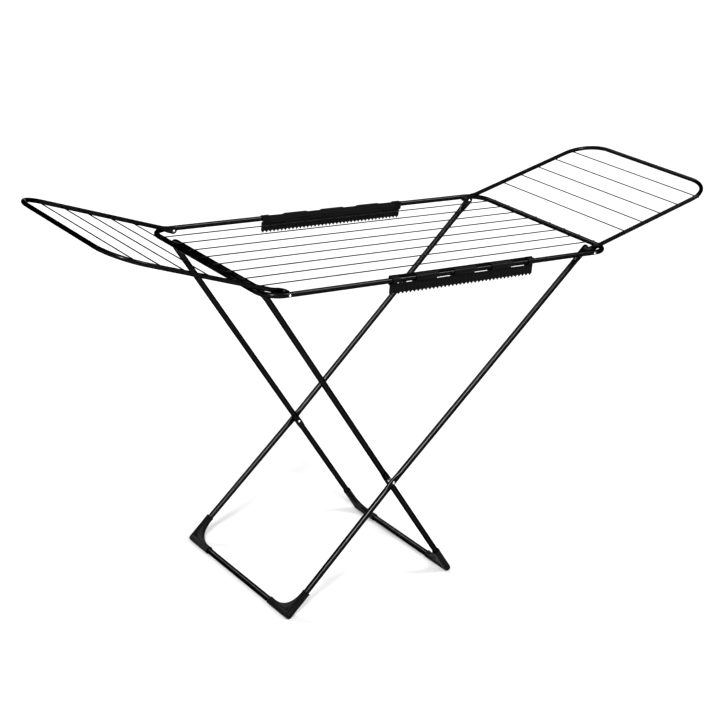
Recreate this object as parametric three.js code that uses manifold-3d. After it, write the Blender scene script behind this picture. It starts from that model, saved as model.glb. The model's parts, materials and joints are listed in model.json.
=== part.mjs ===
// Winged clothes drying rack: a wire table on two crossed leg frames, with a folding wing at each end.
// Millimetres, +Z up. X runs along the rack, Y across it, and the floor is z = 0 under the table's middle.
import * as THREE from "three";
import { mergeVertices } from "three/addons/utils/BufferGeometryUtils.js";
import Module from "manifold-3d";

const wasm = await Module();
wasm.setup();

// Table
const RAIL_Z = 857; // centre of the table tube above the floor
const TABLE_LENGTH = 1030; // between the centre lines of the two end bars
const TABLE_WIDTH = 537; // between the centre lines of the two rails
const TABLE_TUBE = 13;
const TABLE_BEND = 50;
const TABLE_WIRES = 8;
const TABLE_WIRE_PITCH = 57;
const WIRE_RISE = 3.5; // the table wires pass the end bars this far above the tube's centre
const WIRE = 3;
const WIRE_HEAD = 4.4; // upset end that stops a wire in its hole
const WIRE_HEAD_LENGTH = 1.3;
const WIRE_PROUD = 1.8; // a wire's end stands this far out of the tube

// Hinges at the table
const PIVOT_X = 458; // hinge line of each wing, and of leg frame B at +X
const RIVET = 4;
const RIVET_HEAD = 6.5;
const RIVET_DOME = 1.8;
const HUB = 18; // diameter of the spacers at the hinges
const CROSSING_SPACER = 9;

// Wings
const WING_LENGTH = 448; // hinge line to the outer bar's centre line
const WING_WIDTH = 499; // between the centre lines of the two arms
const WING_TUBE = 11;
const WING_BEND = 85;
const WING_TILT = 16.5; // degrees above level when the arms lie on the table's bends
const WING_WIRES = 5;
const FIRST_WING_WIRE = 130;
const WING_WIRE_PITCH = 63;

// Leg frames, drawn in their own plane: u runs up the leg from the crossing, y across
const LEG_TUBE = 15;
const CROSSING = { x: -77, z: 305.8 };
const FOOT_BAR_Z = 9.2; // centre of the foot bars above the floor
const LEG_B = { top: 236, crossing: 224.5, foot: 231, bend: 32 };
const LEG_A = { top: 207, crossing: 202.5, foot: 203, bend: 32, topBend: 32 };
const LEG_A_BAR = { x: -490, z: RAIL_Z + WIRE_RISE - WIRE / 2 - 0.3 - LEG_TUBE / 2 };
const CROSSING_THICKNESS = 10; // the leg tubes are pressed to this across Y where they cross
const PRESSED = 3.4; // thickness of a fully flattened tube end
const SEAM_Y = 13; // where leg frame B's two halves are joined
const SWAGE_LENGTH = 40;

// Plastic parts
const SHOE_THICKNESS = 18.4;
const SHOE_LEG = 71; // sleeve up the leg, from the foot bar's centre line
const SHOE_BAR = 83; // sleeve along the foot bar, from the leg's centre line
const SHOE_CORNER = 9;
const SHOE_WEB = { u: 5, y: -9 }; // the web's inner edge is drawn towards this point
const FLOOR_REACH = 1000; // block under the floor that levels the shoes, centred below the crossing
const FLOOR_DEPTH = 100;
const HOLDER_LENGTH = 436;
const HOLDER_X = { front: 42, back: 25 };
const HOLDER_PLATE = 3;
const BAND = { bottom: -9.5, top: 9.6 }; // heights from the rail's centre
const TOOTHED_TOP = -9.8;
const TOOTHED_Y = 2.5; // middle of the toothed plate, from the rail's centre towards the table's
const LEDGE = { bottom: -13, top: -8.5 };
const HOLDER_DROP = 37.3; // tips of the teeth below the rail's centre
const HOLDER_TEETH = 38;
const TOOTH_DEPTH = 5;
const SADDLE = 68;
const END_SADDLE = 21;
const SADDLES = [
  { x: -206.5, length: END_SADDLE },
  { x: -114, length: SADDLE },
  { x: 0, length: SADDLE },
  { x: 114, length: SADDLE },
  { x: 206.5, length: END_SADDLE },
];
const CATCH_Y = 165;
const CATCH_LENGTH = 16;
const CATCH_TOP = 4; // it is open above this height over the bar's centre

const GAP = 0.3; // clearance between pieces that touch
const TUBE_SIDES = 12;
const WIRE_SIDES = 8;

const paint = () => new THREE.MeshStandardMaterial({ color: 0x101011, roughness: 0.28, metalness: 0.1 });
const plastic = () => new THREE.MeshStandardMaterial({ color: 0x151515, roughness: 0.5, metalness: 0 });
const zinc = () => new THREE.MeshStandardMaterial({ color: 0xc9cbce, roughness: 0.3, metalness: 1 });

const radians = THREE.MathUtils.degToRad;
const v3 = (x, y, z = 0) => new THREE.Vector3(x, y, z);

// ---- paths and tubes -------------------------------------------------------------------------------

// A polyline whose corners may be rounded. Its parameter runs from station to station, so that straight
// stretches take no extra rings.
class BentPath extends THREE.Curve {
  constructor(corners, arcSteps = 6) {
    super();
    this.stations = [];
    corners.forEach(({ at, bend }, i) => {
      const inward = i > 0 ? at.clone().sub(corners[i - 1].at).normalize() : null;
      const outward = i < corners.length - 1 ? corners[i + 1].at.clone().sub(at).normalize() : null;
      if (!bend) {
        const tangent = v3(0, 0);
        if (inward) tangent.add(inward);
        if (outward) tangent.add(outward);
        this.stations.push({ point: at, tangent: tangent.normalize() });
        return;
      }
      const turn = inward.angleTo(outward);
      const start = at.clone().addScaledVector(inward, -bend * Math.tan(turn / 2));
      const side = outward.clone().addScaledVector(inward, -inward.dot(outward)).normalize();
      for (let k = 0; k <= arcSteps; k++) {
        const a = (turn * k) / arcSteps;
        this.stations.push({
          point: start
            .clone()
            .addScaledVector(inward, bend * Math.sin(a))
            .addScaledVector(side, bend * (1 - Math.cos(a))),
          tangent: inward.clone().multiplyScalar(Math.cos(a)).addScaledVector(side, Math.sin(a)),
        });
      }
    });
  }

  get steps() {
    return this.stations.length - 1;
  }

  getUtoTmapping(u) {
    return u;
  }

  getPoint(t, target = v3(0, 0)) {
    return target.copy(this.stations[Math.round(t * this.steps)].point);
  }

  getTangent(t, target = v3(0, 0)) {
    return target.copy(this.stations[Math.round(t * this.steps)].tangent);
  }
}

function circle(radius, sides) {
  const points = [];
  for (let i = 0; i < sides; i++) {
    const a = ((i + 0.5) * 2 * Math.PI) / sides;
    points.push(new THREE.Vector2(radius * Math.cos(a), radius * Math.sin(a)));
  }
  return new THREE.Shape(points);
}

function tube(corners, diameter, arcSteps) {
  const path = new BentPath(corners, arcSteps);
  const section = circle(diameter / 2, TUBE_SIDES);
  return new THREE.ExtrudeGeometry(section, { steps: path.steps, extrudePath: path, bevelEnabled: false });
}

// Presses a tube that runs along X flat in Y around (x, y): `flat` is the half length of the pressed part
// and `ramp` the length over which the round section comes back. A `tip` of +1 or -1 rounds off the end
// that lies beyond the rivet on that side.
function press(geometry, { x, y, diameter, thickness, width, flat, ramp, tip = 0 }) {
  const position = geometry.getAttribute("position");
  for (let i = 0; i < position.count; i++) {
    const along = position.getX(i) - x;
    const across = position.getY(i) - y;
    if (Math.abs(along) > flat + ramp || Math.abs(across) > diameter) continue;
    const k = 1 - THREE.MathUtils.smoothstep(Math.abs(along), flat, flat + ramp);
    const thin = THREE.MathUtils.lerp(1, thickness / diameter, k);
    let wide = THREE.MathUtils.lerp(1, width / diameter, k);
    const beyond = (2 * along * tip) / width;
    if (beyond > 0) wide *= Math.sqrt(Math.max(1 - beyond * beyond, 0.05));
    position.setY(i, y + across * thin);
    position.setZ(i, position.getZ(i) * wide);
  }
  return geometry;
}

// Distances along a pressed end, measured from the rivet towards the open end and back into the tube.
const tipStations = (width) => [0.49, 0.43, 0.3, 0].map((share) => share * width);
const rampStations = (flat, ramp) => [0, 0.25, 0.5, 0.75, 1].map((share) => flat + share * ramp);

// ---- booleans --------------------------------------------------------------------------------------

function solid(geometry) {
  const bare = geometry.index ? geometry.toNonIndexed() : geometry.clone();
  bare.deleteAttribute("normal");
  bare.deleteAttribute("uv");
  const merged = mergeVertices(bare, 1e-4);
  return new wasm.Manifold(
    new wasm.Mesh({
      numProp: 3,
      vertProperties: new Float32Array(merged.attributes.position.array),
      triVerts: new Uint32Array(merged.index.array),
    }),
  );
}

function geometryOf(manifold) {
  const surface = manifold.getMesh();
  const geometry = new THREE.BufferGeometry();
  geometry.setAttribute("position", new THREE.BufferAttribute(new Float32Array(surface.vertProperties), 3));
  geometry.setIndex(new THREE.BufferAttribute(new Uint32Array(surface.triVerts), 1));
  const faceted = geometry.toNonIndexed();
  faceted.computeVertexNormals();
  return faceted;
}

function cut(geometry, ...tools) {
  return geometryOf(tools.reduce((rest, tool) => rest.subtract(solid(tool)), solid(geometry)));
}

function join(first, ...others) {
  return geometryOf(others.reduce((sum, other) => sum.add(solid(other)), solid(first)));
}

// A round bar along Y, centred on (x, y, z).
function barAlongY(diameter, length, x, y, z, sides = 12) {
  const bar = new THREE.CylinderGeometry(diameter / 2, diameter / 2, length, sides);
  return bar.translate(x, y, z);
}

function mirroredInY(geometry) {
  const copy = (geometry.index ? geometry.toNonIndexed() : geometry.clone()).scale(1, -1, 1);
  const position = copy.getAttribute("position");
  for (let i = 0; i < position.count; i += 3) {
    const [x, y, z] = [position.getX(i), position.getY(i), position.getZ(i)];
    position.setXYZ(i, position.getX(i + 1), position.getY(i + 1), position.getZ(i + 1));
    position.setXYZ(i + 1, x, y, z);
  }
  return copy;
}

// ---- wires, rivets and spacers -----------------------------------------------------------------------

// A straight wire along Y with an upset head at each end, `between` being the outer faces it passes.
function wireGeometry(between) {
  const end = between / 2 + WIRE_PROUD;
  const neck = end - WIRE_HEAD_LENGTH;
  const profile = [
    [0, -end],
    [WIRE_HEAD / 2, -end],
    [WIRE_HEAD / 2, -neck],
    [WIRE / 2, -neck],
    [WIRE / 2, neck],
    [WIRE_HEAD / 2, neck],
    [WIRE_HEAD / 2, end],
    [0, end],
  ];
  return new THREE.LatheGeometry(profile.map(([r, y]) => new THREE.Vector2(r, y)), WIRE_SIDES);
}

// A rivet along Y from `inner` to `outer`, with a domed head outside each of those faces.
function rivetGeometry(inner, outer) {
  const shank = RIVET / 2;
  const head = RIVET_HEAD / 2;
  const profile = [
    [0, inner - RIVET_DOME],
    [head * 0.6, inner - RIVET_DOME * 0.8],
    [head, inner - 0.5],
    [head, inner],
    [shank, inner],
    [shank, outer],
    [head, outer],
    [head, outer + 0.5],
    [head * 0.6, outer + RIVET_DOME * 0.8],
    [0, outer + RIVET_DOME],
  ];
  return new THREE.LatheGeometry(profile.map(([r, y]) => new THREE.Vector2(r, y)), 12);
}

// A sleeve along Y between two faces, loose on the rivet.
function spacerGeometry(diameter, from, to) {
  const bore = RIVET / 2 + GAP;
  const profile = [
    [bore, from],
    [diameter / 2, from],
    [diameter / 2, to],
    [bore, to],
    [bore, from],
  ];
  return new THREE.LatheGeometry(profile.map(([r, y]) => new THREE.Vector2(r, y)), 14);
}

function mesh(name, geometry, material, parent) {
  const made = new THREE.Mesh(geometry, material);
  made.name = name;
  parent.add(made);
  return made;
}

const rack = new THREE.Group();

// ---- table -----------------------------------------------------------------------------------------

const table = new THREE.Group();
table.position.z = RAIL_Z;
rack.add(table);

function tableFrame() {
  const [endX, railY] = [TABLE_LENGTH / 2, TABLE_WIDTH / 2];
  const half = tube(
    [
      { at: v3(-0.5, -railY) },
      { at: v3(endX, -railY), bend: TABLE_BEND },
      { at: v3(endX, railY), bend: TABLE_BEND },
      { at: v3(-0.5, railY) },
    ],
    TABLE_TUBE,
    8,
  );
  const holes = [];
  for (const side of [-1, 1]) {
    for (const x of [-PIVOT_X, PIVOT_X]) {
      holes.push(barAlongY(RIVET + 2 * GAP, 30, x, side * railY, 0));
    }
  }
  for (let i = 0; i < TABLE_WIRES; i++) {
    const hole = barAlongY(WIRE + 2 * GAP, TABLE_LENGTH + 60, 0, 0, 0, WIRE_SIDES);
    hole.rotateZ(Math.PI / 2).translate(0, tableWireY(i), WIRE_RISE);
    holes.push(hole);
  }
  const otherHalf = half.clone().rotateZ(Math.PI);
  return cut(join(half, otherHalf), ...holes);
}

function tableWireY(i) {
  return (i - (TABLE_WIRES - 1) / 2) * TABLE_WIRE_PITCH;
}

mesh("table_frame", tableFrame(), paint(), table);
for (let i = 0; i < TABLE_WIRES; i++) {
  const wire = mesh(`table_wire_${i + 1}`, wireGeometry(TABLE_LENGTH + TABLE_TUBE), paint(), table);
  wire.rotation.z = Math.PI / 2;
  wire.position.set(0, tableWireY(i), WIRE_RISE);
}

// Small-item holder. A band lies along the rail's inner side and a toothed plate hangs under the rail.
// Saddles clipped over the rail carry both, each with a ledge that joins the plate to the band.
function toothedPlate() {
  const [half, valley] = [HOLDER_LENGTH / 2, -HOLDER_DROP + TOOTH_DEPTH];
  const pitch = HOLDER_LENGTH / HOLDER_TEETH;
  const outline = new THREE.Shape();
  outline.moveTo(-half, TOOTHED_TOP);
  outline.lineTo(-half, valley);
  for (let i = 0; i < HOLDER_TEETH; i++) {
    const left = -half + i * pitch;
    outline.lineTo(left + pitch * 0.2, valley);
    outline.lineTo(left + pitch * 0.5, -HOLDER_DROP);
    outline.lineTo(left + pitch * 0.8, valley);
  }
  outline.lineTo(half, valley);
  outline.lineTo(half, TOOTHED_TOP);
  return new THREE.ExtrudeGeometry(outline, { depth: HOLDER_PLATE, bevelEnabled: false })
    .rotateX(Math.PI / 2)
    .translate(0, TOOTHED_Y + HOLDER_PLATE / 2, 0);
}

function holderGeometry() {
  const [inner, outer] = [TABLE_TUBE / 2 + GAP, TABLE_TUBE / 2 + GAP + 2];
  const box = (x, length, fromY, toY, { bottom, top }) =>
    new THREE.BoxGeometry(length, toY - fromY, top - bottom).translate(
      x,
      (fromY + toY) / 2,
      (bottom + top) / 2,
    );
  const section = new THREE.Shape();
  section.absarc(0, 0, outer, radians(-10), radians(215), false);
  section.absarc(0, 0, inner, radians(215), radians(-10), true);
  const saddles = SADDLES.map(({ x, length }) => {
    const extrusion = { depth: length, curveSegments: 10, bevelEnabled: false };
    return new THREE.ExtrudeGeometry(section, extrusion)
      .rotateX(Math.PI / 2)
      .rotateZ(Math.PI / 2)
      .translate(x - length / 2, 0, 0);
  });
  const bandFace = inner + HOLDER_PLATE;
  const plateFace = TOOTHED_Y - HOLDER_PLATE / 2;
  const ledges = SADDLES.map(({ x, length }) => box(x, length, plateFace, bandFace, LEDGE));
  return join(box(0, HOLDER_LENGTH, inner, bandFace, BAND), toothedPlate(), ...saddles, ...ledges);
}

for (const [name, side] of [
  ["front", -1],
  ["back", 1],
]) {
  const geometry = side < 0 ? holderGeometry() : mirroredInY(holderGeometry());
  const holder = mesh(`holder_${name}`, geometry, plastic(), table);
  holder.position.set(HOLDER_X[name], (side * TABLE_WIDTH) / 2, 0);
}

// ---- wings -----------------------------------------------------------------------------------------

const ARM_Y = WING_WIDTH / 2;
const ARM_WIDTH = (Math.PI / 2) * WING_TUBE;
const ARM_FLAT = 11;
const ARM_RAMP = 26;

const wingWireX = (i) => FIRST_WING_WIRE + i * WING_WIRE_PITCH;

function wingFrame() {
  const armX = [
    ...tipStations(ARM_WIDTH).map((distance) => -distance),
    ...rampStations(ARM_FLAT, ARM_RAMP),
  ];
  const arm = (y) => armX.map((x) => ({ at: v3(x, y) }));
  const frame = tube(
    [
      ...arm(-ARM_Y),
      { at: v3(WING_LENGTH, -ARM_Y), bend: WING_BEND },
      { at: v3(WING_LENGTH, ARM_Y), bend: WING_BEND },
      ...arm(ARM_Y).reverse(),
    ],
    WING_TUBE,
  );
  const holes = [];
  for (const side of [-1, 1]) {
    press(frame, {
      x: 0,
      y: side * ARM_Y,
      diameter: WING_TUBE,
      thickness: PRESSED,
      width: ARM_WIDTH,
      flat: ARM_FLAT,
      ramp: ARM_RAMP,
      tip: -1,
    });
    holes.push(barAlongY(RIVET + 2 * GAP, 20, 0, side * ARM_Y, 0));
  }
  for (let i = 0; i < WING_WIRES; i++) {
    holes.push(barAlongY(WIRE + 2 * GAP, WING_WIDTH + 40, wingWireX(i), 0, 0, WIRE_SIDES));
  }
  return cut(frame, ...holes);
}

for (const [name, turn] of [
  ["right", 0],
  ["left", Math.PI],
]) {
  const end = new THREE.Group();
  end.rotation.z = turn;
  table.add(end);
  const wing = new THREE.Group();
  wing.position.x = PIVOT_X;
  wing.rotation.y = -radians(WING_TILT);
  end.add(wing);
  mesh(`wing_${name}_frame`, wingFrame(), paint(), wing);
  for (let i = 0; i < WING_WIRES; i++) {
    const wire = mesh(`wing_${name}_wire_${i + 1}`, wireGeometry(WING_WIDTH + WING_TUBE), paint(), wing);
    wire.position.x = wingWireX(i);
  }
}

// ---- leg frames ------------------------------------------------------------------------------------

function legGroup(topX, topZ) {
  const group = new THREE.Group();
  group.position.set(CROSSING.x, 0, CROSSING.z);
  const [dx, dz] = [topX - CROSSING.x, topZ - CROSSING.z];
  const angle = Math.atan2(dz, dx);
  group.rotation.y = -angle;
  rack.add(group);
  return { group, angle, up: Math.hypot(dx, dz), down: (CROSSING.z - FOOT_BAR_Z) / Math.sin(angle) };
}

const legB = legGroup(PIVOT_X, RAIL_Z);
const legA = legGroup(LEG_A_BAR.x, LEG_A_BAR.z);

const CROSSING_FLAT = 9;
const CROSSING_RAMP = 22;
const crossingStations = [...rampStations(CROSSING_FLAT, CROSSING_RAMP).reverse(), 0];
const LEG_END_WIDTH = (Math.PI / 2) * LEG_TUBE;
const LEG_END_FLAT = 13;
const LEG_END_RAMP = 34;

// Stations down one side of a leg frame past the crossing, for a frame `at(u)` wide there.
function pastCrossing(yAt, side) {
  const above = crossingStations.map((u) => ({ at: v3(u, side * yAt(u)) }));
  const below = crossingStations
    .slice(0, -1)
    .reverse()
    .map((u) => ({ at: v3(-u, side * yAt(-u)) }));
  return [...above, ...below];
}

function widthAlong(leg, sizes) {
  return (u) =>
    u > 0
      ? THREE.MathUtils.mapLinear(u, 0, leg.up, sizes.crossing, sizes.top)
      : THREE.MathUtils.mapLinear(u, 0, -leg.down, sizes.crossing, sizes.foot);
}

function pressCrossing(geometry, y) {
  return press(geometry, {
    x: 0,
    y,
    diameter: LEG_TUBE,
    thickness: CROSSING_THICKNESS,
    width: LEG_TUBE + 3,
    flat: CROSSING_FLAT,
    ramp: CROSSING_RAMP,
  });
}

// Half of leg frame B: a J of tube with a flattened top end. The halves plug together in the foot bar.
function legBHalf(side) {
  const yAt = widthAlong(legB, LEG_B);
  const topU = [
    ...tipStations(LEG_END_WIDTH).map((distance) => legB.up + distance),
    ...rampStations(LEG_END_FLAT, LEG_END_RAMP).map((distance) => legB.up - distance),
  ];
  const endY = side < 0 ? SEAM_Y : SEAM_Y + GAP;
  const half = tube(
    [
      ...topU.map((u) => ({ at: v3(u, side * LEG_B.top) })),
      ...pastCrossing(yAt, side),
      { at: v3(-legB.down, side * LEG_B.foot), bend: LEG_B.bend },
      { at: v3(-legB.down, endY) },
    ],
    LEG_TUBE,
  );
  press(half, {
    x: legB.up,
    y: side * LEG_B.top,
    diameter: LEG_TUBE,
    thickness: PRESSED,
    width: LEG_END_WIDTH,
    flat: LEG_END_FLAT,
    ramp: LEG_END_RAMP,
    tip: 1,
  });
  pressCrossing(half, side * LEG_B.crossing);
  const holes = [
    barAlongY(RIVET + 2 * GAP, 20, legB.up, side * LEG_B.top, 0),
    barAlongY(RIVET + 2 * GAP, 30, 0, side * LEG_B.crossing, 0),
  ];
  const swage = LEG_TUBE - 3;
  if (side < 0) {
    const bore = barAlongY(swage + 2 * GAP, 2 * (SWAGE_LENGTH + 1), -legB.down, SEAM_Y, 0, TUBE_SIDES);
    return cut(half, ...holes, bore);
  }
  const plugLength = SWAGE_LENGTH + 10;
  const plugY = SEAM_Y + 10 - plugLength / 2;
  const plug = barAlongY(swage, plugLength, -legB.down, plugY, 0, TUBE_SIDES);
  return cut(join(half, plug), ...holes);
}

// Leg frame A: a closed loop of tube whose top bar lies under the table wires.
function legAFrame() {
  const yAt = widthAlong(legA, LEG_A);
  const half = tube(
    [
      { at: v3(legA.up, 0.5) },
      { at: v3(legA.up, -LEG_A.top), bend: LEG_A.topBend },
      ...pastCrossing(yAt, -1),
      { at: v3(-legA.down, -LEG_A.foot), bend: LEG_A.bend },
      { at: v3(-legA.down, 0.5) },
    ],
    LEG_TUBE,
  );
  pressCrossing(half, -LEG_A.crossing);
  const drills = [-1, 1].map((side) => barAlongY(RIVET + 2 * GAP, 30, 0, side * LEG_A.crossing, 0));
  return cut(join(half, mirroredInY(half)), ...drills);
}

mesh("leg_a_frame", legAFrame(), paint(), legA.group);
mesh("leg_b_tube_front", legBHalf(-1), paint(), legB.group);
mesh("leg_b_tube_back", legBHalf(1), paint(), legB.group);

// Plastic shoe around a lower corner: two sleeves with a web between them, cut level with the floor.
function shoeGeometry(leg, footY, tubePath) {
  const wall = SHOE_THICKNESS / 2;
  const outline = new THREE.Shape();
  outline.moveTo(SHOE_LEG, wall);
  outline.lineTo(-wall + SHOE_CORNER, wall);
  outline.quadraticCurveTo(-wall, wall, -wall, wall - SHOE_CORNER);
  outline.lineTo(-wall, -SHOE_BAR);
  outline.lineTo(wall, -SHOE_BAR);
  outline.quadraticCurveTo(SHOE_WEB.u, SHOE_WEB.y, SHOE_LEG, -wall);
  const bevel = 2;
  const body = new THREE.ExtrudeGeometry(outline, {
    depth: SHOE_THICKNESS - 2 * bevel,
    bevelThickness: bevel,
    bevelSize: bevel,
    bevelOffset: -bevel,
    bevelSegments: 2,
    curveSegments: 8,
  });
  body.translate(-leg.down, footY, -SHOE_THICKNESS / 2 + bevel);
  const floor = new THREE.BoxGeometry(FLOOR_REACH, FLOOR_REACH, FLOOR_DEPTH);
  floor.rotateY(leg.angle);
  const below = CROSSING.z + FLOOR_DEPTH / 2;
  floor.translate(-below * Math.sin(leg.angle), footY, -below * Math.cos(leg.angle));
  return cut(body, tubePath, floor);
}

function shoe(name, leg, sizes, side) {
  const yAt = widthAlong(leg, sizes);
  const clearance = tube(
    [
      { at: v3(-leg.down + 200, yAt(-leg.down + 200)) },
      { at: v3(-leg.down, sizes.foot), bend: sizes.bend },
      { at: v3(-leg.down, sizes.foot - 180) },
    ],
    LEG_TUBE + 2 * GAP,
  );
  const geometry = shoeGeometry(leg, sizes.foot, clearance);
  mesh(name, side > 0 ? geometry : mirroredInY(geometry), plastic(), leg.group);
}

shoe("shoe_a_front", legA, LEG_A, -1);
shoe("shoe_a_back", legA, LEG_A, 1);
shoe("shoe_b_front", legB, LEG_B, -1);
shoe("shoe_b_back", legB, LEG_B, 1);

// Plastic catch clipped on leg frame A's top bar from below, with a saddle that bears on the end bar.
function catchGeometry() {
  const bar = new THREE.Vector2(LEG_A_BAR.x, LEG_A_BAR.z);
  const endBar = new THREE.Vector2(-TABLE_LENGTH / 2, RAIL_Z);
  const between = bar.distanceTo(endBar);
  const wall = LEG_TUBE / 2 + GAP + 2.2;
  const ring = barAlongY(2 * wall, CATCH_LENGTH, 0, 0, 0, 20);
  const lug = new THREE.BoxGeometry(between, CATCH_LENGTH, 12).translate(-between / 2, 0, 0);
  const boreBar = barAlongY(LEG_TUBE + 2 * GAP, 40, 0, 0, 0, 20);
  const boreEnd = barAlongY(TABLE_TUBE + 2 * GAP, 40, -between, 0, 0, 20);
  const past = new THREE.BoxGeometry(20, 40, 40).translate(-between - 10 + 3.5, 0, 0);
  const above = new THREE.BoxGeometry(80, 40, 20).translate(0, 0, 10 + CATCH_TOP);
  return cut(join(ring, lug), boreBar, boreEnd, past, above);
}

for (const [name, side] of [
  ["front", -1],
  ["back", 1],
]) {
  const made = mesh(`catch_${name}`, catchGeometry(), plastic(), rack);
  made.position.set(LEG_A_BAR.x, side * CATCH_Y, LEG_A_BAR.z);
  made.rotation.y = Math.atan2(RAIL_Z - LEG_A_BAR.z, LEG_A_BAR.x + TABLE_LENGTH / 2);
}

// ---- rivets and spacers ------------------------------------------------------------------------------

const railInner = (TABLE_WIDTH - TABLE_TUBE) / 2;
const railOuter = (TABLE_WIDTH + TABLE_TUBE) / 2;
const pressedHalf = PRESSED / 2;

// Places a piece that lies along +Y on the front or the back of the rack.
function alongY(name, geometry, material, x, z, side) {
  const made = mesh(name, side > 0 ? geometry : mirroredInY(geometry), material, rack);
  made.position.set(x, 0, z);
}

for (const [name, side] of [
  ["front", -1],
  ["back", 1],
]) {
  const railSpacer = () => spacerGeometry(HUB, ARM_Y + pressedHalf + GAP, railInner - GAP);
  const legSpacer = spacerGeometry(HUB, LEG_B.top + pressedHalf + GAP, ARM_Y - pressedHalf - GAP);
  const crossSpacer = spacerGeometry(
    CROSSING_SPACER,
    LEG_A.crossing + CROSSING_THICKNESS / 2 + GAP,
    LEG_B.crossing - CROSSING_THICKNESS / 2 - GAP,
  );
  const rightRivet = rivetGeometry(LEG_B.top - pressedHalf - GAP, railOuter + GAP);
  const leftRivet = rivetGeometry(ARM_Y - pressedHalf - GAP, railOuter + GAP);
  const crossRivet = rivetGeometry(
    LEG_A.crossing - CROSSING_THICKNESS / 2 - GAP,
    LEG_B.crossing + CROSSING_THICKNESS / 2 + GAP,
  );
  alongY(`rivet_right_${name}`, rightRivet, zinc(), PIVOT_X, RAIL_Z, side);
  alongY(`rivet_left_${name}`, leftRivet, zinc(), -PIVOT_X, RAIL_Z, side);
  alongY(`rivet_crossing_${name}`, crossRivet, zinc(), CROSSING.x, CROSSING.z, side);
  alongY(`spacer_right_${name}`, railSpacer(), plastic(), PIVOT_X, RAIL_Z, side);
  alongY(`spacer_left_${name}`, railSpacer(), plastic(), -PIVOT_X, RAIL_Z, side);
  alongY(`spacer_leg_${name}`, legSpacer, plastic(), PIVOT_X, RAIL_Z, side);
  alongY(`spacer_crossing_${name}`, crossSpacer, zinc(), CROSSING.x, CROSSING.z, side);
}

export default rack;
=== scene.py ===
import json
import math

import bmesh
import bpy
from mathutils import Matrix, Vector


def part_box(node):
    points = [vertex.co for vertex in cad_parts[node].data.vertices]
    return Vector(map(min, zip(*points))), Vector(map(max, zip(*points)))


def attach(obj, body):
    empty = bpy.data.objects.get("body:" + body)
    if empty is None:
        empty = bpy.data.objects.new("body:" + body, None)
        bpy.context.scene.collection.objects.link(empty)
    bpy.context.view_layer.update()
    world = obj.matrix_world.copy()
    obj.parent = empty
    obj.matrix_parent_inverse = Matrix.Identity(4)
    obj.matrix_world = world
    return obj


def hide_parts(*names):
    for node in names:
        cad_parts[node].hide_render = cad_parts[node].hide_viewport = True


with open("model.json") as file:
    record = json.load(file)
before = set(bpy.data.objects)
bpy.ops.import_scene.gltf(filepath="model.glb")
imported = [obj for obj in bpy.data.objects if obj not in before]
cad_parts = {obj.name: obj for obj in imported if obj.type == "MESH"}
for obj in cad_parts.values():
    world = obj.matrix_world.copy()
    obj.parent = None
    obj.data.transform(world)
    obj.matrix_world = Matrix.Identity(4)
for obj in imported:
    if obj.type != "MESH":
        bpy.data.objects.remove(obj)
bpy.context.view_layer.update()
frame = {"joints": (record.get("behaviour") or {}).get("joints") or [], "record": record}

MM = 0.001
FRONT_BACK = (("front", -1), ("back", 1))

# Driving dimensions, as in the part
TABLE_LENGTH = 1030 * MM
TABLE_WIDTH = 537 * MM
TABLE_TUBE = 13 * MM
TABLE_BEND = 50 * MM
WING_LENGTH = 448 * MM
WING_WIDTH = 499 * MM
WING_TUBE = 11 * MM
WING_BEND = 85 * MM
WING_TILT = math.radians(16.5)
LEG_TUBE = 15 * MM
LEG_BEND = 32 * MM
FOOT_BAR_Z = 9.2 * MM
LEG_A_BAR = Vector((-490 * MM, 0, 851.2 * MM))
LEG_A = {"top": 207 * MM, "crossing": 202.5 * MM, "foot": 203 * MM}
LEG_B = {"top": 236 * MM, "crossing": 224.5 * MM, "foot": 231 * MM}
SEAM_Y = 13 * MM
GAP = 0.3 * MM
LOOP_GAP = 2 * MM  # a closed loop's last station lies this far before its first
PRESSED = 3.4 * MM
CROSSING_THICKNESS = 10 * MM
TABLE_WIRES = 8
WING_WIRES = 5
WIRE = 3 * MM
WIRE_HEAD = 4.4 * MM
WIRE_HEAD_LENGTH = 1.3 * MM
RIVET_HEAD = 6.5 * MM
RIVET_DOME = 1.8 * MM
HUB = 18 * MM
CROSSING_SPACER = 9 * MM
SHOE_THICKNESS = 18.4 * MM
SHOE_LEG = 71 * MM
SHOE_BAR = 83 * MM
SHOE_CORNER = 9 * MM
SHOE_WEB = (5 * MM, -9 * MM)
SHOE_ROUNDING = 3 * MM
WEB_THICKNESS = 13 * MM
COLLAR = 4 * MM
COLLAR_RISE = 0.5 * MM
HOLDER_LENGTH = 436 * MM
HOLDER_X = {"front": 42 * MM, "back": 25 * MM}
HOLDER_PLATE = 3 * MM
BAND_BOTTOM, BAND_TOP = -9.5 * MM, 9.6 * MM
TOOTHED_TOP = -9.8 * MM
TOOTHED_Y = 2.5 * MM
LEDGE_BOTTOM, LEDGE_TOP = -13 * MM, -8.5 * MM
HOLDER_DROP = 37.3 * MM
HOLDER_TEETH = 38
TOOTH_DEPTH = 5 * MM
SADDLES = (  # middle and length of each
    (-206.5 * MM, 21 * MM),
    (-114 * MM, 68 * MM),
    (0, 68 * MM),
    (114 * MM, 68 * MM),
    (206.5 * MM, 21 * MM),
)
RIDGES = (8 * MM, 3.5 * MM, -1 * MM, -5.5 * MM, -9 * MM)
RIDGE_WIDTH = 1.1 * MM
BUMP_ROWS = ((-34 * MM, -24 * MM), (-22 * MM, -12 * MM))
BUMP_SLANT = 0.45
VALLEY = 0.3  # thickness between the ridges and bumps, as a share of the plate
SADDLE_WALL = 2 * MM
SADDLE_ARC = (math.radians(-10), math.radians(215))
CATCH_LENGTH = 16 * MM
CATCH_TOP = 4 * MM
CATCH_WALL = 2.2 * MM
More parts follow.
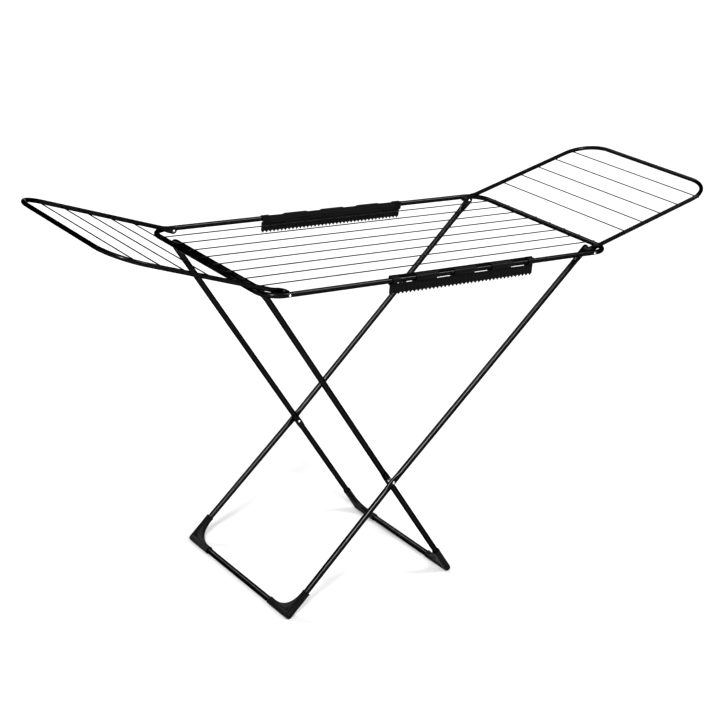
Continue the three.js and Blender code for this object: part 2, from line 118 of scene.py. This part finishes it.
CATCH_LUG = 6 * MM  # half the height of the lug between ring and saddle
CATCH_LIP = 3.5 * MM  # how far short of the end bar's middle the saddle stops

JOINT_AT = {joint["name"]: Vector(joint["pos_m"]) for joint in frame["joints"]}
PIVOT = JOINT_AT["right_wing_fold"]
CROSSING = JOINT_AT["leg_fold"]
BODY_OF = {
    node: body
    for body, nodes in frame["record"]["behaviour"]["bodies"].items()
    for node in nodes
}
SLOT_OF = {part["node"]: part["material_slot"] for part in frame["record"]["subparts"]}


# ---- materials ---------------------------------------------------------------------------------------


def new_material(name, roughness, metallic=0.0, specular=0.5, edge_tint=1.0):
    material = bpy.data.materials.new(name)
    material.use_nodes = True
    shader = material.node_tree.nodes["Principled BSDF"]
    shader.inputs["Roughness"].default_value = roughness
    shader.inputs["Metallic"].default_value = metallic
    shader.inputs["Specular IOR Level"].default_value = specular
    shader.inputs["Specular Tint"].default_value = (edge_tint, edge_tint, edge_tint, 1)
    return material, shader


def noise(material, scale, detail=3.0, stretch=(1, 1, 1)):
    """Noise in the piece's own coordinates, `scale` lumps to the metre."""
    nodes, links = material.node_tree.nodes, material.node_tree.links
    place = nodes.new("ShaderNodeTexCoord")
    mapping = nodes.new("ShaderNodeMapping")
    mapping.inputs["Scale"].default_value = stretch
    texture = nodes.new("ShaderNodeTexNoise")
    texture.inputs["Scale"].default_value = scale
    texture.inputs["Detail"].default_value = detail
    links.new(place.outputs["Object"], mapping.inputs["Vector"])
    links.new(mapping.outputs["Vector"], texture.inputs["Vector"])
    return texture.outputs["Fac"]


def vary_colour(material, shader, source, dark, light):
    nodes, links = material.node_tree.nodes, material.node_tree.links
    ramp = nodes.new("ShaderNodeValToRGB")
    ramp.color_ramp.elements[0].position = 0.3
    ramp.color_ramp.elements[0].color = (*dark, 1)
    ramp.color_ramp.elements[1].position = 0.7
    ramp.color_ramp.elements[1].color = (*light, 1)
    links.new(source, ramp.inputs["Fac"])
    links.new(ramp.outputs["Color"], shader.inputs["Base Color"])


def vary_roughness(material, shader, source, low, high):
    nodes, links = material.node_tree.nodes, material.node_tree.links
    spread = nodes.new("ShaderNodeMapRange")
    spread.inputs["From Min"].default_value = 0.3
    spread.inputs["From Max"].default_value = 0.7
    spread.inputs["To Min"].default_value = low
    spread.inputs["To Max"].default_value = high
    links.new(source, spread.inputs["Value"])
    links.new(spread.outputs["Result"], shader.inputs["Roughness"])


def add_bump(material, shader, source, depth, strength):
    nodes, links = material.node_tree.nodes, material.node_tree.links
    bump = nodes.new("ShaderNodeBump")
    bump.inputs["Strength"].default_value = strength
    bump.inputs["Distance"].default_value = depth
    links.new(source, bump.inputs["Height"])
    links.new(bump.outputs["Normal"], shader.inputs["Normal"])


PAINT_DARK, PAINT_LIGHT = (0.0065, 0.0065, 0.0067), (0.0095, 0.0095, 0.0098)


def powder_coat():
    """Deep black gloss paint with a fine orange peel, dark at its edges too."""
    material, shader = new_material("powder_coat", roughness=0.2, metallic=1.0, edge_tint=0.12)
    vary_colour(material, shader, noise(material, 60), PAINT_DARK, PAINT_LIGHT)
    vary_roughness(material, shader, noise(material, 35), 0.16, 0.25)
    add_bump(material, shader, noise(material, 700, detail=2), 0.05 * MM, 0.35)
    return material


def wire_coat():
    """The same paint on the wires, duller and darker at its edges."""
    material, shader = new_material("wire_coat", roughness=0.3, metallic=1.0, edge_tint=0.05)
    vary_colour(material, shader, noise(material, 90), PAINT_DARK, PAINT_LIGHT)
    vary_roughness(material, shader, noise(material, 50), 0.26, 0.36)
    add_bump(material, shader, noise(material, 1100, detail=2), 0.03 * MM, 0.3)
    return material


def moulded_plastic():
    """Satin black plastic with a spark-eroded grain."""
    material, shader = new_material("moulded_plastic", roughness=0.32, specular=0.04)
    vary_colour(material, shader, noise(material, 45), (0.001, 0.001, 0.0011), (0.002, 0.002, 0.0022))
    vary_roughness(material, shader, noise(material, 120), 0.38, 0.52)
    add_bump(material, shader, noise(material, 2600, detail=4), 0.06 * MM, 0.5)
    return material


def zinc_plate():
    """Bright zinc plate, a little clouded and marked by the press."""
    material, shader = new_material("zinc_plate", roughness=0.22, metallic=1.0)
    vary_colour(material, shader, noise(material, 500), (0.42, 0.43, 0.45), (0.68, 0.69, 0.7))
    vary_roughness(material, shader, noise(material, 900), 0.16, 0.34)
    add_bump(material, shader, noise(material, 1500, stretch=(1, 0.2, 1)), 0.04 * MM, 0.4)
    return material


def studio_floor():
    material, shader = new_material("studio_floor", roughness=0.9, specular=0.0)
    vary_colour(material, shader, noise(material, 3), (0.44, 0.44, 0.44), (0.45, 0.45, 0.45))
    return material


MATERIALS = {
    "painted_tube": powder_coat(),
    "painted_wire": wire_coat(),
    "black_plastic": moulded_plastic(),
    "zinc_steel": zinc_plate(),
}


# ---- meshes ------------------------------------------------------------------------------------------

# How square a section is: the power of its superellipse
ROUND = 2
CROSSING_SQUARE = 2.6
SLEEVE_SQUARE = 2.5
PRESSED_SQUARE = 3.2

TIP_STEPS = 8  # stations round the tip of a pressed end or the closed end of a sleeve
TIP_REACH = 0.49  # how far a pressed tip goes past its rivet, as a share of its width
TIP_LEFT = 0.02  # keeps the last ring of a tip from closing to a point


def piece_for(node, bm, matrix=Matrix.Identity(4), bevel=0.0, sharp=math.radians(40)):
    """Makes the mesh the visible piece for a CAD node: its body, slot and material come from the record."""
    bmesh.ops.transform(bm, matrix=matrix, verts=bm.verts)
    bmesh.ops.recalc_face_normals(bm, faces=bm.faces)
    mesh = bpy.data.meshes.new(node + "_look")
    bm.to_mesh(mesh)
    bm.free()
    piece = bpy.data.objects.new(node + "_look", mesh)
    bpy.context.scene.collection.objects.link(piece)
    mesh.materials.append(MATERIALS[SLOT_OF[node]])
    mesh.shade_smooth()
    mesh.set_sharp_from_angle(angle=sharp)
    if bevel:
        rounding = piece.modifiers.new("rounding", "BEVEL")
        rounding.width = bevel
        rounding.segments = 3
        rounding.limit_method = "ANGLE"
        rounding.angle_limit = math.radians(35)
        rounding.harden_normals = True
    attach(piece, BODY_OF[node])
    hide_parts(node)


def bent_path(corners, arc_steps=20):
    """(point, direction) stations of a flat polyline. A corner is (x, y) or (x, y, bend radius)."""
    points = [Vector(corner[:2]) for corner in corners]
    stations = []
    for i, corner in enumerate(corners):
        inward = (points[i] - points[i - 1]).normalized() if i > 0 else None
        outward = (points[i + 1] - points[i]).normalized() if i < len(corners) - 1 else None
        if len(corner) == 2:
            heading = ((inward or outward) + (outward or inward)).normalized()
            stations.append((points[i], heading))
            continue
        turn = inward.angle(outward)
        start = points[i] - inward * corner[2] * math.tan(turn / 2)
        side = (outward - inward * inward.dot(outward)).normalized()
        for k in range(arc_steps + 1):
            a = turn * k / arc_steps
            point = start + inward * corner[2] * math.sin(a) + side * corner[2] * (1 - math.cos(a))
            stations.append((point, inward * math.cos(a) + side * math.sin(a)))
    return stations


def superellipse(angle, power):
    c, s = math.cos(angle), math.sin(angle)
    return (
        math.copysign(abs(c) ** (2 / power), c),
        math.copysign(abs(s) ** (2 / power), s),
    )


def sweep(stations, section, closed=False, sides=32, bm=None):
    """A tube along flat stations. section(point) gives its half width in the plane, its half width across
    the plane, and how square it is: 2 is round. Given a mesh, it adds the tube to that."""
    bm = bm or bmesh.new()
    rings = []
    for point, heading in stations:
        in_plane, across, power = section(point)
        side = Vector((-heading.y, heading.x))
        ring = []
        for k in range(sides):
            c, s = superellipse(2 * math.pi * k / sides, power)
            flat = point + side * in_plane * c
            ring.append(bm.verts.new((flat.x, flat.y, across * s)))
        rings.append(ring)
    count = len(rings)
    for i in range(count if closed else count - 1):
        here, there = rings[i], rings[(i + 1) % count]
        for k in range(sides):
            after = (k + 1) % sides
            bm.faces.new((here[k], here[after], there[after], there[k]))
    if not closed:
        bm.faces.new(rings[0])
        bm.faces.new(rings[-1])
    return bm


def lathe(profile, sides=32):
    """Turns (radius, y) points about Y. The first and last points lie on the axis."""
    bm = bmesh.new()
    first = bm.verts.new((0, profile[0][1], 0))
    last = bm.verts.new((0, profile[-1][1], 0))
    rings = []
    for radius, y in profile[1:-1]:
        angles = [2 * math.pi * k / sides for k in range(sides)]
        rings.append([bm.verts.new((radius * math.cos(a), y, radius * math.sin(a))) for a in angles])
    for k in range(sides):
        after = (k + 1) % sides
        bm.faces.new((first, rings[0][k], rings[0][after]))
        bm.faces.new((last, rings[-1][after], rings[-1][k]))
        for here, there in zip(rings, rings[1:]):
            bm.faces.new((here[k], here[after], there[after], there[k]))
    return bm


def pressed(distance, flat, ramp):
    """1 where a tube is pressed, 0 where it is round, `distance` from the middle of the press."""
    t = min(max((abs(distance) - flat) / ramp, 0), 1)
    return 1 - t * t * (3 - 2 * t)


def mix(a, b, k):
    return a + (b - a) * k


def samples(low, high, count):
    return [mix(low, high, k / count) for k in range(count + 1)]


def quarter_turn():
    """How far out the stations of a round tip lie, from 1 at its end towards 0 at its root."""
    return [math.cos(math.pi / 2 * k / TIP_STEPS) for k in range(TIP_STEPS)]


# ---- table -------------------------------------------------------------------------------------------

TABLE = Matrix.Translation((0, 0, PIVOT.z))


def add_table_frame():
    end_x, rail_y, radius = TABLE_LENGTH / 2, TABLE_WIDTH / 2, TABLE_TUBE / 2
    loop = bent_path(
        [
            (0, -rail_y),
            (end_x, -rail_y, TABLE_BEND),
            (end_x, rail_y, TABLE_BEND),
            (-end_x, rail_y, TABLE_BEND),
            (-end_x, -rail_y, TABLE_BEND),
            (-LOOP_GAP, -rail_y),
        ]
    )
    piece_for("table_frame", sweep(loop, lambda point: (radius, radius, ROUND), closed=True), TABLE)


def wire_profile(half_length):
    """A wire with an upset head at each end, from one end to the other."""
    neck = half_length - WIRE_HEAD_LENGTH
    head, rounding = WIRE_HEAD / 2, 0.4 * MM
    end = [
        (0, half_length),
        (head - 2 * rounding, half_length),
        (head - 0.3 * rounding, half_length - 0.4 * rounding),
        (head, half_length - rounding),
        (head, neck),
        (WIRE / 2, neck - 0.3 * MM),
    ]
    return [(r, -y) for r, y in end] + list(reversed(end))


def add_wire(node, along_x):
    low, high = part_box(node)
    middle = (low + high) / 2
    half_length = (high.x - low.x if along_x else high.y - low.y) / 2
    turn = Matrix.Rotation(math.pi / 2, 4, "Z") if along_x else Matrix.Identity(4)
    piece_for(node, lathe(wire_profile(half_length), sides=16), Matrix.Translation(middle) @ turn)


def ridges(x, z):
    """Relief of the band: ridges along it, and plain over the end saddles."""
    end_saddle = SADDLES[-1][1]
    if abs(x) > HOLDER_LENGTH / 2 - end_saddle:
        return 1
    return max(math.exp(-(((z - at) / RIDGE_WIDTH) ** 2)) for at in RIDGES)


def bumps(x, z):
    """Relief of the toothed plate: two rows of slanted bumps, one above the other."""
    pitch = HOLDER_LENGTH / HOLDER_TEETH
    for low, high in BUMP_ROWS:
        if low <= z < high:
            up = (z - low) / (high - low)
            across = math.sin(math.pi * ((x + HOLDER_LENGTH / 2) / pitch - BUMP_SLANT * (up - 0.5)))
            return across**4 * math.sin(math.pi * up) ** 0.5
    return 0


def tooth_edge(x):
    """Height of the toothed plate's lower edge."""
    pitch = HOLDER_LENGTH / HOLDER_TEETH
    return -HOLDER_DROP + TOOTH_DEPTH * abs(math.cos(math.pi * (x + HOLDER_LENGTH / 2) / pitch)) ** 1.5


def relief_plate(bm, face_y, low_edge, top, relief, rows=26):
    """A plate along X whose faces stand out where relief(x, z) is 1. low_edge(x) is its lower edge."""
    stations = samples(-HOLDER_LENGTH / 2, HOLDER_LENGTH / 2, HOLDER_TEETH * 12)
    grids = []
    for side in (-1, 1):
        grid = []
        for x in stations:
            column = []
            for z in samples(low_edge(x), top, rows):
                depth = mix(VALLEY, 1, relief(x, z)) * HOLDER_PLATE / 2
                column.append(bm.verts.new((x, face_y + side * depth, z)))
            grid.append(column)
        for a, b in zip(grid, grid[1:]):
            for k in range(rows):
                bm.faces.new((a[k], b[k], b[k + 1], a[k + 1]))
        grids.append(grid)
    near, far = grids
    for i in range(len(stations) - 1):
        for k in (0, rows):
            bm.faces.new((near[i][k], near[i + 1][k], far[i + 1][k], far[i][k]))
    for i in (0, -1):
        for k in range(rows):
            bm.faces.new((near[i][k], near[i][k + 1], far[i][k + 1], far[i][k]))


def add_ledge(bm, x, length):
    """The step that joins the toothed plate to the band under a saddle."""
    near, far = TOOTHED_Y - HOLDER_PLATE / 2, TABLE_TUBE / 2 + GAP + HOLDER_PLATE
    centre = Vector((x, (near + far) / 2, (LEDGE_BOTTOM + LEDGE_TOP) / 2))
    size = Matrix.Diagonal((length, far - near, LEDGE_TOP - LEDGE_BOTTOM, 1))
    bmesh.ops.create_cube(bm, size=1, matrix=Matrix.Translation(centre) @ size)


def add_saddle(bm, x, length):
    """A C-shaped sleeve over the rail, with rounded ends and a rounded lip."""
    inner = TABLE_TUBE / 2 + GAP
    along = [0, 0.25 * MM, 0.8 * MM, 1.6 * MM]
    stations = [-length / 2 + step for step in along] + [length / 2 - step for step in reversed(along)]
    height = [0.55, 0.85, 0.97, 1, 1, 0.97, 0.85, 0.55]
    rings = []
    for step in samples(0, 1, 36):
        a = mix(*SADDLE_ARC, step)
        lip = math.sqrt(min(1, min(step, 1 - step) / 0.03 + 0.25))
        ring = [(inner, stations[-1]), (inner, stations[0])]
        ring += [(inner + SADDLE_WALL * lip * share, at) for at, share in zip(stations, height)]
        rings.append([bm.verts.new((x + at, r * math.cos(a), r * math.sin(a))) for r, at in ring])
    for here, there in zip(rings, rings[1:]):
        for k in range(len(here)):
            after = (k + 1) % len(here)
            bm.faces.new((here[k], here[after], there[after], there[k]))
    bm.faces.new(rings[0])
    bm.faces.new(rings[-1])


def add_holder(name, side):
    bm = bmesh.new()
    band_y = TABLE_TUBE / 2 + GAP + HOLDER_PLATE / 2
    relief_plate(bm, band_y, lambda x: BAND_BOTTOM, BAND_TOP, ridges)
    relief_plate(bm, TOOTHED_Y, tooth_edge, TOOTHED_TOP, bumps)
    for x, length in SADDLES:
        add_saddle(bm, x, length)
        add_ledge(bm, x, length)
    mirror = Matrix.Scale(-side, 4, (0, 1, 0))
    place = Matrix.Translation((HOLDER_X[name], side * TABLE_WIDTH / 2, PIVOT.z))
    piece_for(f"holder_{name}", bm, place @ mirror)


# ---- wings -------------------------------------------------------------------------------------------

ARM_Y = WING_WIDTH / 2
ARM_END = math.pi / 2 * WING_TUBE
ARM_FLAT, ARM_RAMP = 11 * MM, 26 * MM


def rounded_tip(distance, width):
    """Share of the width left beyond the rivet of a pressed end."""
    return math.sqrt(max(1 - (2 * distance / width) ** 2, TIP_LEFT)) if distance > 0 else 1


def add_wing(name, turn):
    def section(point):
        k = pressed(point.x, ARM_FLAT, ARM_RAMP) if point.x < ARM_FLAT + ARM_RAMP else 0
        in_plane = mix(WING_TUBE, PRESSED, k) / 2
        across = mix(WING_TUBE, ARM_END, k) / 2 * rounded_tip(-point.x, ARM_END)
        return in_plane, across, mix(ROUND, PRESSED_SQUARE, k)

    arm = [-TIP_REACH * ARM_END * quarter for quarter in quarter_turn()]
    arm += samples(0, ARM_FLAT + ARM_RAMP, 16)
    corners = [(x, -ARM_Y) for x in arm]
    corners += [(WING_LENGTH, -ARM_Y, WING_BEND), (WING_LENGTH, ARM_Y, WING_BEND)]
    corners += [(x, ARM_Y) for x in reversed(arm)]
    place = (
        TABLE
        @ Matrix.Rotation(turn, 4, "Z")
        @ Matrix.Translation((PIVOT.x, 0, 0))
        @ Matrix.Rotation(-WING_TILT, 4, "Y")
    )
    piece_for(f"wing_{name}_frame", sweep(bent_path(corners), section), place)


# ---- leg frames --------------------------------------------------------------------------------------

LEG_END = math.pi / 2 * LEG_TUBE
LEG_FLAT, LEG_RAMP = 13 * MM, 34 * MM
CROSSING_FLAT, CROSSING_RAMP = 9 * MM, 22 * MM
CROSSING_WIDENING = 3 * MM
SEAM_GROOVE, SEAM_HALF = 0.6 * MM, 0.8 * MM


class Leg:
    """A leg frame's own plane: u runs up the leg from the crossing, y across."""

    def __init__(self, top, sizes):
        run = top - CROSSING
        self.angle = math.atan2(run.z, run.x)
        self.up = math.hypot(run.x, run.z)
        self.down = (CROSSING.z - FOOT_BAR_Z) / math.sin(self.angle)
        self.sizes = sizes
        self.place = Matrix.Translation(CROSSING) @ Matrix.Rotation(-self.angle, 4, "Y")

    def y_at(self, u):
        if u > 0:
            return mix(self.sizes["crossing"], self.sizes["top"], u / self.up)
        return mix(self.sizes["crossing"], self.sizes["foot"], -u / self.down)

    def past_crossing(self):
        reach = CROSSING_FLAT + CROSSING_RAMP
        return [(u, self.y_at(u)) for u in samples(reach, -reach, 24)]

    def section(self, point):
        """Round, but pressed at the crossing."""
        k = pressed(point.x, CROSSING_FLAT, CROSSING_RAMP)
        in_plane = mix(LEG_TUBE, CROSSING_THICKNESS, k) / 2
        across = mix(LEG_TUBE, LEG_TUBE + CROSSING_WIDENING, k) / 2
        return in_plane, across, mix(ROUND, CROSSING_SQUARE, k)


LEG_FRAME_A = Leg(LEG_A_BAR, LEG_A)
LEG_FRAME_B = Leg(PIVOT, LEG_B)


def mirrored(corners):
    return [(corner[0], -corner[1], *corner[2:]) for corner in reversed(corners)]


def add_leg_a():
    leg = LEG_FRAME_A
    half = [(leg.up, LEG_A["top"], LEG_BEND), *leg.past_crossing(), (-leg.down, LEG_A["foot"], LEG_BEND)]
    seam = [(-leg.down, y) for y in samples(SEAM_Y + 2 * SEAM_HALF, SEAM_Y - 2 * SEAM_HALF, 8)]
    corners = [(leg.up, 0), *half, *seam, *mirrored(half), (leg.up, -LOOP_GAP)]

    def section(point):
        in_plane, across, power = leg.section(point)
        if abs(point.x + leg.down) < 1 * MM and abs(point.y - SEAM_Y) < SEAM_HALF:
            return in_plane - SEAM_GROOVE, across - SEAM_GROOVE, power
        return in_plane, across, power

    piece_for("leg_a_frame", sweep(bent_path(corners), section, closed=True), leg.place)


def add_leg_b(name, side):
    leg = LEG_FRAME_B

    def section(point):
        in_plane, across, power = leg.section(point)
        k = pressed(leg.up - point.x, LEG_FLAT, LEG_RAMP)
        if k == 0 or point.x < leg.up / 2:
            return in_plane, across, power
        in_plane = mix(LEG_TUBE, PRESSED, k) / 2
        across = mix(LEG_TUBE, LEG_END, k) / 2 * rounded_tip(point.x - leg.up, LEG_END)
        return in_plane, across, mix(ROUND, PRESSED_SQUARE, k)

    tip = [leg.up + TIP_REACH * LEG_END * quarter for quarter in quarter_turn()]
    top = tip + [leg.up - distance for distance in samples(0, LEG_FLAT + LEG_RAMP, 16)]
    corners = [(u, LEG_B["top"]) for u in top]
    corners += leg.past_crossing()
    corners += [(-leg.down, LEG_B["foot"], LEG_BEND)]
    end_y = -SEAM_Y if side < 0 else SEAM_Y + GAP
    corners += [(-leg.down, end_y)]
    corners = [(corner[0], side * corner[1], *corner[2:]) for corner in corners]
    piece_for(f"leg_b_tube_{name}", sweep(bent_path(corners), section), leg.place)


# ---- shoes and catches -------------------------------------------------------------------------------


def curve_through(start, control, end, count=16):
    """Points of a quadratic curve, without its first."""
    start, control, end = Vector(start), Vector(control), Vector(end)
    points = []
    for k in range(1, count + 1):
        t = k / count
        points.append(start * (1 - t) ** 2 + control * 2 * t * (1 - t) + end * t * t)
    return points


def inset_outline(outline, distance):
    """The closed outline moved inwards by the distance. It runs anticlockwise."""
    moved = []
    for i, point in enumerate(outline):
        before = (point - outline[i - 1]).normalized()
        after = (outline[(i + 1) % len(outline)] - point).normalized()
        normals = Vector((-before.y, before.x)), Vector((-after.y, after.x))
        bisector = (normals[0] + normals[1]) / (1 + normals[0].dot(normals[1]))
        moved.append(point + bisector * distance)
    return moved


def rounded_slab(bm, outline, half, rounding, steps=5):
    """A slab with the outline, `half` thick each way, its edges rounded."""
    rings = []
    for side in (-1, 1):
        turns = samples(math.pi / 2, 0, steps) if side < 0 else samples(0, math.pi / 2, steps)
        for a in turns:
            z = side * (half - rounding + rounding * math.sin(a))
            points = inset_outline(outline, rounding * (1 - math.cos(a)))
            rings.append([bm.verts.new((p.x, p.y, z)) for p in points])
    for here, there in zip(rings, rings[1:]):
        for k in range(len(here)):
            after = (k + 1) % len(here)
            bm.faces.new((here[k], here[after], there[after], there[k]))
    bm.faces.new(rings[0])
    bm.faces.new(rings[-1])


def add_sleeve(bm, mouth):
    """A round sleeve from the shoe's corner to its mouth, with a collar there."""
    wall, along, length = SHOE_THICKNESS / 2, mouth.normalized(), mouth.length
    reach = [-wall * quarter for quarter in quarter_turn()]
    reach += [0, length - COLLAR - 0.8 * MM, length - COLLAR, length - 0.7 * MM, length]

    def section(point):
        distance = point.dot(along)
        share = 1
        if distance < 0:
            share = math.sqrt(max(1 - (distance / wall) ** 2, TIP_LEFT))
        elif distance > length - 0.1 * MM:
            share = 0.95
        elif distance > length - COLLAR - 0.1 * MM:
            share = 1 + COLLAR_RISE / wall
        return wall * share, wall * share, SLEEVE_SQUARE

    sweep([(along * distance, along) for distance in reach], section, bm=bm)


def slice_off(bm, height, below):
    """Removes what lies below (or above) the height and closes the cut."""
    everything = bm.verts[:] + bm.edges[:] + bm.faces[:]
    sliced = bmesh.ops.bisect_plane(
        bm,
        geom=everything,
        plane_co=(0, 0, height),
        plane_no=(0, 0, 1 if below else -1),
        clear_inner=True,
    )
    rim = [edge for edge in sliced["geom_cut"] if isinstance(edge, bmesh.types.BMEdge)]
    bmesh.ops.holes_fill(bm, edges=rim, sides=0)


def add_shoe(node, leg, side):
    """An L of two round sleeves with a thinner web between them."""
    wall, corner = SHOE_THICKNESS / 2, SHOE_CORNER
    outline = [Vector((SHOE_LEG - COLLAR, wall)), Vector((-wall + corner, wall))]
    outline += curve_through((-wall + corner, wall), (-wall, wall), (-wall, wall - corner), 8)
    outline += [Vector((-wall, -SHOE_BAR + COLLAR)), Vector((wall, -SHOE_BAR + COLLAR))]
    outline += curve_through((wall, -SHOE_BAR + COLLAR), SHOE_WEB, (SHOE_LEG - COLLAR, -wall))
    bm = bmesh.new()
    rounded_slab(bm, outline, WEB_THICKNESS / 2, SHOE_ROUNDING)
    add_sleeve(bm, Vector((SHOE_LEG, 0)))
    add_sleeve(bm, Vector((0, -SHOE_BAR)))

    place = leg.place @ Matrix.Translation((-leg.down, side * leg.sizes["foot"], 0))
    place = place @ Matrix.Scale(side, 4, (0, 1, 0))
    bmesh.ops.transform(bm, matrix=place, verts=bm.verts)
    bmesh.ops.recalc_face_normals(bm, faces=bm.faces)
    slice_off(bm, 0, below=True)
    piece_for(node, bm, sharp=math.radians(50))


def arc(centre_x, radius, start, end, count):
    angles = samples(start, end, count)
    return [Vector((centre_x + radius * math.cos(a), radius * math.sin(a))) for a in angles]


def add_catch(name):
    """A clip under leg frame A's top bar with a saddle for the table's end bar."""
    reach = Vector((LEG_A_BAR.x + TABLE_LENGTH / 2, PIVOT.z - LEG_A_BAR.z))
    between = reach.length
    bore, saddle = LEG_TUBE / 2 + GAP, TABLE_TUBE / 2 + GAP
    ring = bore + CATCH_WALL
    lip_x = -between + CATCH_LIP
    opening = math.acos((lip_x + between) / saddle)
    neck = math.pi - math.asin(CATCH_LUG / ring)
    outline = arc(0, ring, -neck, neck, 40)
    outline += [Vector((lip_x, CATCH_LUG))]
    outline += arc(-between, saddle, opening, -opening, 16)
    outline += [Vector((lip_x, -CATCH_LUG))]
    hole = arc(0, bore, 0, 2 * math.pi, 40)[:-1]

    flat = bmesh.new()
    for points in (outline, hole):
        verts = [flat.verts.new((p.x, 0, p.y)) for p in points]
        for here, there in zip(verts, verts[1:] + verts[:1]):
            flat.edges.new((here, there))
    filled = bmesh.ops.triangle_fill(flat, edges=flat.edges, use_beauty=True, use_dissolve=False)
    faces = [face for face in filled["geom"] if isinstance(face, bmesh.types.BMFace)]
    raised = bmesh.ops.extrude_face_region(flat, geom=faces, use_keep_orig=True)
    top = [v for v in raised["geom"] if isinstance(v, bmesh.types.BMVert)]
    bmesh.ops.translate(flat, verts=top, vec=(0, CATCH_LENGTH, 0))
    slice_off(flat, CATCH_TOP, below=False)

    low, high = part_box(f"catch_{name}")
    place = Matrix.Translation((LEG_A_BAR.x, (low.y + high.y) / 2, LEG_A_BAR.z))
    place = place @ Matrix.Rotation(math.atan2(reach.y, reach.x), 4, "Y")
    place = place @ Matrix.Translation((0, -CATCH_LENGTH / 2, 0))
    piece_for(f"catch_{name}", flat, place, bevel=0.5 * MM)


# ---- rivets and spacers ------------------------------------------------------------------------------


def head_profile(face, outward):
    """A domed rivet head with a shallow dimple, from its tip back to the face it bears on. The shape is in
    shares of the head's radius and height."""
    shape = [(0, 0.74), (0.16, 0.78), (0.26, 0.98), (0.36, 1.0)]
    shape += [(0.6, 0.86), (0.82, 0.58), (0.97, 0.24), (1, 0)]
    return [(RIVET_HEAD / 2 * r, face + outward * RIVET_DOME * h) for r, h in shape]


def add_rivet(node):
    low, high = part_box(node)
    middle = (low + high) / 2
    half_length = (high.y - low.y) / 2
    face = half_length - RIVET_DOME
    outer = head_profile(face, 1)
    inner = [(r, -y) for r, y in outer]
    piece_for(node, lathe(inner + list(reversed(outer))), Matrix.Translation(middle))


def add_spacer(node, diameter):
    low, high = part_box(node)
    middle = (low + high) / 2
    half_length = (high.y - low.y) / 2
    radius = diameter / 2
    rounding = min(0.7 * MM, half_length / 3)
    end = [(0, half_length), (radius - rounding, half_length), (radius, half_length - rounding)]
    profile = [(r, -y) for r, y in end] + list(reversed(end))
    piece_for(node, lathe(profile), Matrix.Translation(middle))


# ---- studio ------------------------------------------------------------------------------------------

FLOOR_SIZE = 120
CAMERA_AT = (-2.498, -3.266, 2.069)
CAMERA_YAW, CAMERA_PITCH, CAMERA_ROLL = math.radians(-36.94), math.radians(-20.45), math.radians(5.1)
CAMERA_LENS, SENSOR_WIDTH = 86, 36  # millimetres


def add_floor():
    bpy.ops.mesh.primitive_plane_add(size=FLOOR_SIZE, location=(0, 0, 0))
    floor = bpy.context.object
    floor.name = "studio_floor"
    floor.data.materials.append(studio_floor())


def add_sun(name, towards, strength, spread):
    """Even light from a far, soft source that stands in the direction `towards`."""
    data = bpy.data.lights.new(name, "SUN")
    data.energy = strength
    data.angle = math.radians(spread)
    light = bpy.data.objects.new(name, data)
    light.rotation_euler = (-Vector(towards)).to_track_quat("-Z", "Y").to_euler()
    bpy.context.scene.collection.objects.link(light)


def add_world():
    """White near the horizon and dimmer overhead."""
    world = bpy.data.worlds.new("studio")
    world.use_nodes = True
    nodes, links = world.node_tree.nodes, world.node_tree.links
    place = nodes.new("ShaderNodeTexCoord")
    split = nodes.new("ShaderNodeSeparateXYZ")
    ramp = nodes.new("ShaderNodeValToRGB")
    ramp.color_ramp.elements[0].position = 0.15
    ramp.color_ramp.elements[0].color = (1, 1, 1, 1)
    ramp.color_ramp.elements[1].position = 0.35
    ramp.color_ramp.elements[1].color = (0.3, 0.3, 0.3, 1)
    links.new(place.outputs["Generated"], split.inputs["Vector"])
    links.new(split.outputs["Z"], ramp.inputs["Fac"])
    links.new(ramp.outputs["Color"], nodes["Background"].inputs["Color"])
    bpy.context.scene.world = world


def add_camera():
    yaw, pitch, roll = CAMERA_YAW, CAMERA_PITCH, CAMERA_ROLL
    forward = Vector((-math.sin(yaw) * math.cos(pitch), math.cos(yaw) * math.cos(pitch), math.sin(pitch)))
    level = Vector((math.cos(yaw), math.sin(yaw), 0))
    above = level.cross(forward)
    right = level * math.cos(roll) + above * math.sin(roll)
    up = above * math.cos(roll) - level * math.sin(roll)
    data = bpy.data.cameras.new("camera")
    data.lens = CAMERA_LENS
    data.sensor_width = SENSOR_WIDTH
    camera = bpy.data.objects.new("camera", data)
    axes = Matrix((right, up, -forward)).transposed().to_4x4()
    camera.matrix_world = Matrix.Translation(CAMERA_AT) @ axes
    bpy.context.scene.collection.objects.link(camera)
    bpy.context.scene.camera = camera


# ---- the rack ----------------------------------------------------------------------------------------

add_table_frame()
for number in range(1, TABLE_WIRES + 1):
    add_wire(f"table_wire_{number}", along_x=True)
for wing, turn in (("right", 0), ("left", math.pi)):
    add_wing(wing, turn)
    for number in range(1, WING_WIRES + 1):
        add_wire(f"wing_{wing}_wire_{number}", along_x=False)
add_leg_a()
for name, side in FRONT_BACK:
    add_holder(name, side)
    add_leg_b(name, side)
    add_shoe(f"shoe_a_{name}", LEG_FRAME_A, side)
    add_shoe(f"shoe_b_{name}", LEG_FRAME_B, side)
    add_catch(name)
    for place in ("right", "left", "crossing"):
        add_rivet(f"rivet_{place}_{name}")
    for place in ("right", "left", "leg"):
        add_spacer(f"spacer_{place}_{name}", HUB)
    add_spacer(f"spacer_crossing_{name}", CROSSING_SPACER)

add_floor()
add_world()
add_sun("key", (-0.5, -0.6, 0.65), 5.2, 10)
add_sun("side", (0.57, -0.35, 0.75), 2.6, 16)
add_sun("back", (-0.25, 0.75, 0.61), 2.6, 16)
add_sun("top", (0.1, -0.1, 2), 0.8, 60)
add_camera()
bpy.context.scene.view_settings.view_transform = "Standard"
